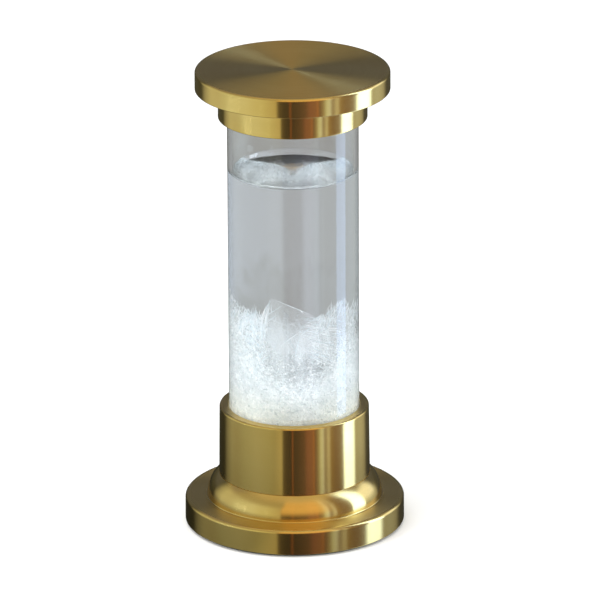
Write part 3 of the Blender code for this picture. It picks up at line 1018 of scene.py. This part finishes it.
CAMERA_ELEVATION = math.radians(19.56)
CAMERA_DISTANCE = 3.038
CAMERA_LENS = 477.3
CAMERA_ROLL = math.radians(-0.295)
AIM_HEIGHT = 91.0 * MM
AIM_RIGHT = 2.41 * MM
AIM_DOWN = 1.75 * MM


def make_camera():
    data = bpy.data.cameras.new("camera")
    data.sensor_width = 36.0
    data.lens = CAMERA_LENS
    data.clip_end = 20.0
    camera = collect("camera", data)
    back = Vector((0.0, -math.cos(CAMERA_ELEVATION), math.sin(CAMERA_ELEVATION)))
    turn = back.to_track_quat("Z", "Y").to_matrix()
    right, up = turn.col[0], turn.col[1]
    aim = Vector((0.0, 0.0, AIM_HEIGHT)) + right * AIM_RIGHT - up * AIM_DOWN
    roll = Matrix.Rotation(CAMERA_ROLL, 3, back)
    camera.matrix_world = Matrix.Translation(aim + back * CAMERA_DISTANCE) @ (roll @ turn).to_4x4()
    bpy.context.scene.camera = camera


# What polished sides mirror: azimuth in degrees, from the camera's side towards the right, and colour
ROOM = [
    (-180, (0.08, 0.08, 0.06)), (-134, (0.07, 0.07, 0.05)), (-126, (0.36, 0.36, 0.28)),
    (-112, (0.62, 0.64, 0.52)), (-98, (0.60, 0.61, 0.50)), (-84, (0.66, 0.70, 0.58)),
    (-60, (0.74, 0.77, 0.64)), (-36, (0.68, 0.68, 0.48)), (-19.5, (0.58, 0.53, 0.34)),
    (-17.0, (0.13, 0.11, 0.08)), (-11, (0.07, 0.06, 0.05)), (-4.2, (0.05, 0.045, 0.04)),
    (-3.0, (0.38, 0.14, 0.07)), (-1.6, (0.06, 0.05, 0.045)), (8, (0.10, 0.07, 0.06)),
    (15, (0.14, 0.09, 0.075)), (20, (0.26, 0.13, 0.11)), (28, (0.28, 0.15, 0.11)),
    (29.3, (0.28, 0.15, 0.11)), (30, (0.85, 0.34, 0.13)), (30.8, (0.24, 0.14, 0.10)),
    (32, (0.18, 0.12, 0.10)), (34, (0.26, 0.19, 0.15)), (37.5, (0.36, 0.33, 0.24)),
    (40, (0.62, 0.68, 0.62)), (44.5, (0.74, 0.84, 0.95)), (47, (0.34, 0.31, 0.29)),
    (50, (0.36, 0.33, 0.31)), (52, (0.60, 0.60, 0.56)), (55, (0.60, 0.60, 0.56)),
    (57.5, (0.34, 0.26, 0.16)), (66, (0.26, 0.19, 0.15)), (74, (0.28, 0.22, 0.18)),
    (80, (0.34, 0.34, 0.36)), (83, (2.2, 2.9, 4.3)), (103, (2.2, 2.9, 4.2)),
    (106, (0.46, 0.48, 0.46)), (118, (0.52, 0.58, 0.60)), (126, (0.50, 0.53, 0.49)),
    (136, (0.40, 0.41, 0.35)), (141, (0.13, 0.13, 0.11)), (147, (0.08, 0.08, 0.07)),
    (180, (0.08, 0.08, 0.06)),
]
CEILING = (0.62, 0.52, 0.34, 1)
WARM_WALL = (1.25, 0.85, 0.38, 1)
BROWN_WALL = (0.42, 0.38, 0.25, 1)
BACK_WALL = (0.12, 0.125, 0.14, 1)
BACK_CEILING = (0.32, 0.29, 0.26, 1)
HIGH_PANE = (1.2, 1.3, 1.5, 1)
ROOM_RADIUS = 6.0


def wall_colour(nodes, turn):
    """The room's walls, from two ramps, because one ramp holds too few stops."""
    peak = max(max(colour) for _, colour in ROOM)
    half = len(ROOM) // 2
    share = nodes.scaled(turn, 1 / math.tau, 0.5)
    stops = [(0.5 + degrees / 360.0, [c / peak for c in colour]) for degrees, colour in ROOM]
    left = nodes.ramp(share, stops[:half])
    right = nodes.ramp(share, stops[half - 1:])
    side = nodes.math("GREATER_THAN", share, stops[half - 1][0])
    scaled = {0: nodes.mix(side, left, right), 1: (peak, peak, peak)}
    return nodes.add("ShaderNodeVectorMath", scaled, operation="MULTIPLY").outputs[0]


def room_colour(nodes):
    """Light by direction: a pale wall on the left, a window on the right, a soft ceiling."""
    where = nodes.object_place()
    direction = nodes.add("ShaderNodeVectorMath", {0: where}, operation="NORMALIZE").outputs[0]
    x, y, rise = nodes.split(direction)
    turn = azimuth(nodes, x, y)
    walls = wall_colour(nodes, turn)
    ahead = nodes.product(nodes.swing(turn, -21, -16), nodes.swing(turn, 60, 30))
    warm = nodes.product(ahead, nodes.smooth(rise, 0.02, 0.3))
    walls = nodes.mix(warm, walls, nodes.mix(0.65, walls, WARM_WALL))
    left = nodes.product(nodes.swing(turn, -12, -22), nodes.swing(turn, -150, -130))
    walls = nodes.mix(nodes.product(left, nodes.smooth(rise, 0.45, 0.62)), walls, BROWN_WALL)
    behind = nodes.product(nodes.smooth(y, 0.5, 0.75), nodes.smooth(rise, 0.05, 0.2))
    walls = nodes.mix(behind, walls, BACK_WALL)
    beside = nodes.product(nodes.swing(turn, 100, 106), nodes.swing(turn, 138, 126))
    raised = nodes.product(nodes.smooth(rise, -0.1, 0.15), nodes.smooth(rise, 0.6, 0.45))
    walls = nodes.mix(nodes.product(beside, raised), walls, HIGH_PANE)
    walls = nodes.mix(nodes.smooth(rise, 0.72, 0.93), walls, CEILING)
    high_behind = nodes.product(nodes.smooth(y, 0.05, 0.35), nodes.smooth(rise, 0.5, 0.65))
    return nodes.mix(high_behind, walls, BACK_CEILING)


def make_world():
    """Even soft light for everything that is not polished."""
    world = bpy.data.worlds.new("studio")
    bpy.context.scene.world = world
    world.use_nodes = True
    background = world.node_tree.nodes["Background"]
    background.inputs["Color"].default_value = WHITE
    background.inputs["Strength"].default_value = 1.0


def make_card(name, mesh, shader_kind, colour, seen_by):
    """A studio card that only one kind of ray meets, "glossy" or "transmission"."""
    card = collect(name, mesh)
    material = bpy.data.materials.new(name)
    material.use_nodes = True
    nodes = Nodes(material.node_tree)
    material.node_tree.nodes.clear()
    shader = nodes.add(shader_kind)
    nodes.feed(shader.inputs["Color"], colour(nodes) if callable(colour) else colour)
    nodes.add("ShaderNodeOutputMaterial", {"Surface": shader.outputs[0]})
    mesh.materials.append(material)
    rays = ("camera", "diffuse", "glossy", "transmission", "shadow", "volume_scatter")
    hide_from(card, *(ray for ray in rays if ray != seen_by))
    return card


def dome(name, radius):
    body = bmesh.new()
    bmesh.ops.create_icosphere(body, subdivisions=4, radius=radius)
    return finished(name, body)


def flat_square(name, half_width):
    body = bmesh.new()
    bmesh.ops.create_grid(body, x_segments=4, y_segments=4, size=half_width)
    return finished(name, body)


def make_room():
    """The room that polished parts mirror, beyond the glass's backdrop."""
    make_card("room", dome("room", ROOM_RADIUS), "ShaderNodeEmission", room_colour, "glossy")


# What clear glass looks through to
BACKDROP_RADIUS = 2.5
SIDE_GREY = (0.405, 0.432, 0.432, 1)
BACK_GREY = (0.400, 0.408, 0.405, 1)
STRIP_GREY = (0.315, 0.305, 0.285, 1)  # a dark strip straight behind
NEAR_LEFT = (0.76, 0.80, 0.82, 1)
NEAR_RIGHT = (1.34, 1.46, 1.72, 1)
DARK_BELOW = (0.02, 0.017, 0.015, 1)
ABOVE_GREY = (0.20, 0.195, 0.19, 1)


def backdrop_colour(nodes):
    """Brighter on the camera's side, dark below the horizon and dim above."""
    x, y, height = nodes.split(nodes.object_place())
    turn = azimuth(nodes, x, y)
    aside = nodes.math("ABSOLUTE", turn)
    walls = nodes.mix(nodes.swing(aside, 100, 165), SIDE_GREY, BACK_GREY)
    walls = nodes.mix(nodes.swing(aside, 173, 177), walls, STRIP_GREY)
    near = nodes.mix(nodes.swing(turn, -25, 25), NEAR_LEFT, NEAR_RIGHT)
    walls = nodes.mix(nodes.swing(aside, 54, 38), walls, near)
    walls = nodes.mix(nodes.smooth(height, -1.80, -1.88), walls, DARK_BELOW)
    return nodes.mix(nodes.smooth(height, 0.2, 0.9), walls, ABOVE_GREY)


def make_glass_backdrop():
    """The grey that clear glass looks through to, all round, and darker steeply below."""
    backdrop = dome("glass_backdrop", BACKDROP_RADIUS)
    make_card("glass_backdrop", backdrop, "ShaderNodeEmission", backdrop_colour, "transmission")


# Lamps: azimuth in degrees and height in millimetres of each strip's ends, how tall it is, and its strength
LAMP_DISTANCE = 0.3
LAMPS = {
    "lamp_stroke": (-78.5, 59.3, -62.5, 61.6, 1.5, 8.0),
    "lamp_blob": (-83.5, 62.6, -71.5, 63.4, 2.6, 2.0),
    "lamp_mark": (-37.8, 65.3, -34.4, 65.5, 3.6, 1.8),
}


def make_lamps():
    """Small lamps low beside the piece; only polished faces show them, as marks on the tube."""
    steps = 8
    for name, (start, start_height, end, end_height, tall, strength) in LAMPS.items():
        strip = bmesh.new()
        columns = []
        for step in range(steps + 1):
            share = step / steps
            turn = math.radians(start + (end - start) * share)
            middle = start_height + (end_height - start_height) * share
            x, y = LAMP_DISTANCE * math.sin(turn), -LAMP_DISTANCE * math.cos(turn)
            columns.append([strip.verts.new((x, y, (middle + side * tall / 2) * MM)) for side in (-1, 1)])
        for near, far in zip(columns, columns[1:]):
            strip.faces.new((near[0], far[0], far[1], near[1]))
        glow = (0.9 * strength, strength, 1.1 * strength, 1)
        make_card(name, finished(name, strip), "ShaderNodeEmission", glow, "glossy")


def make_bench_shade():
    """Painted shade of the bench round the piece: polished sides near the bench see it darker than those
    high above it.
    """
    # How much painted shade lets through at each distance from the axis, on the left and on the right
    left_stops = [(0.0, 0.30), (0.06, 0.34), (0.125, 0.52), (0.45, 1.0)]
    right_stops = [(0.0, 0.60), (0.075, 0.62), (0.13, 1.0)]

    def tint(nodes):
        radius, _, where = cylindrical(nodes)
        x, y, _ = nodes.split(where)
        left = nodes.swing(azimuth(nodes, x, y), -10, -30)
        left_shade, right_shade = [
            nodes.ramp(radius, [(distance, (grey, grey, grey)) for distance, grey in stops])
            for stops in (left_stops, right_stops)
        ]
        return nodes.mix(left, right_shade, left_shade)

    mesh = flat_square("bench_shade", 2.0)
    card = make_card("bench_shade", mesh, "ShaderNodeBsdfTransparent", tint, "glossy")
    card.location.z = -0.4 * MM


def make_floor():
    """A pale table top. Only the camera and soft light see it; polished parts see the room."""
    mesh = flat_square("floor", 4.0)
    floor = collect("floor", mesh)
    material, nodes, shader = new_material("pale_floor")
    mottle = nodes.noise(nodes.object_place(), 9.0, 2.0)
    tone = nodes.mix(mottle, (0.86, 0.86, 0.86, 1), (0.90, 0.90, 0.90, 1))
    nodes.fill(shader, {"Base Color": tone, "Roughness": 0.9, "Specular IOR Level": 0.0})
    mesh.materials.append(material)
    hide_from(floor, "glossy", "transmission")


def soft_light(name, location, size, watts, colour):
    """A round lamp aimed at the object's middle."""
    data = bpy.data.lights.new(name, "AREA")
    data.shape = "DISK"
    data.size = size
    data.energy = watts
    data.color = colour
    light = collect(name, data)
    light.location = location
    aim = Vector(location) - Vector((0, 0, 90.0 * MM))
    light.rotation_euler = aim.to_track_quat("Z", "Y").to_euler()
    hide_from(light, "glossy", "transmission")


def make_lights():
    soft_light("overhead", (-0.35, -0.25, 1.3), 1.2, 8.0, (1.0, 0.99, 0.97))
    soft_light("window_side", (1.3, -0.5, 0.35), 0.9, 13.0, (0.93, 0.97, 1.0))
    soft_light("room_side", (-1.2, -0.9, 0.45), 0.9, 15.0, (0.96, 0.985, 1.0))


def set_view():
    scene = bpy.context.scene
    scene.view_settings.view_transform = "Standard"
    scene.cycles.max_bounces = 24
    scene.cycles.transmission_bounces = 20
    scene.cycles.transparent_max_bounces = 48


make_camera()
make_world()
make_room()
make_glass_backdrop()
make_lamps()
make_bench_shade()
make_floor()
make_lights()
set_view()

make_base_foot()
make_socket_collar()
make_cap_ring()
make_cap_disc()
make_glass_tube()
make_liquid()
make_bed_core()
make_bed_grains()
make_bed_crust()
make_ferns()
make_veils()
make_needles()
make_wall_fan()
make_wall_growth()
make_plates()
make_disc("felt_pad", "foot_pad", "base", "felt", FELT, 0.15 * MM)
make_disc("cork_socket_cushion", "tube_cushion", "base", "cork", CORK, 0.3 * MM)
make_disc("cork_cap_cushion", "cap_cushion", "cap", "cork", CORK, 0.3 * MM)
make_disc("rubber_stopper", "stopper", "vessel", "rubber", RUBBER, 0.3 * MM)
make_disc("poured_seal", "resin_seal", "vessel", "resin", RESIN, 0.25 * MM)
make_seal("socket_ring", "socket_seal_ring", "base")
make_seal("cap_seal", "cap_seal_ring", "cap")
finish_fasteners()
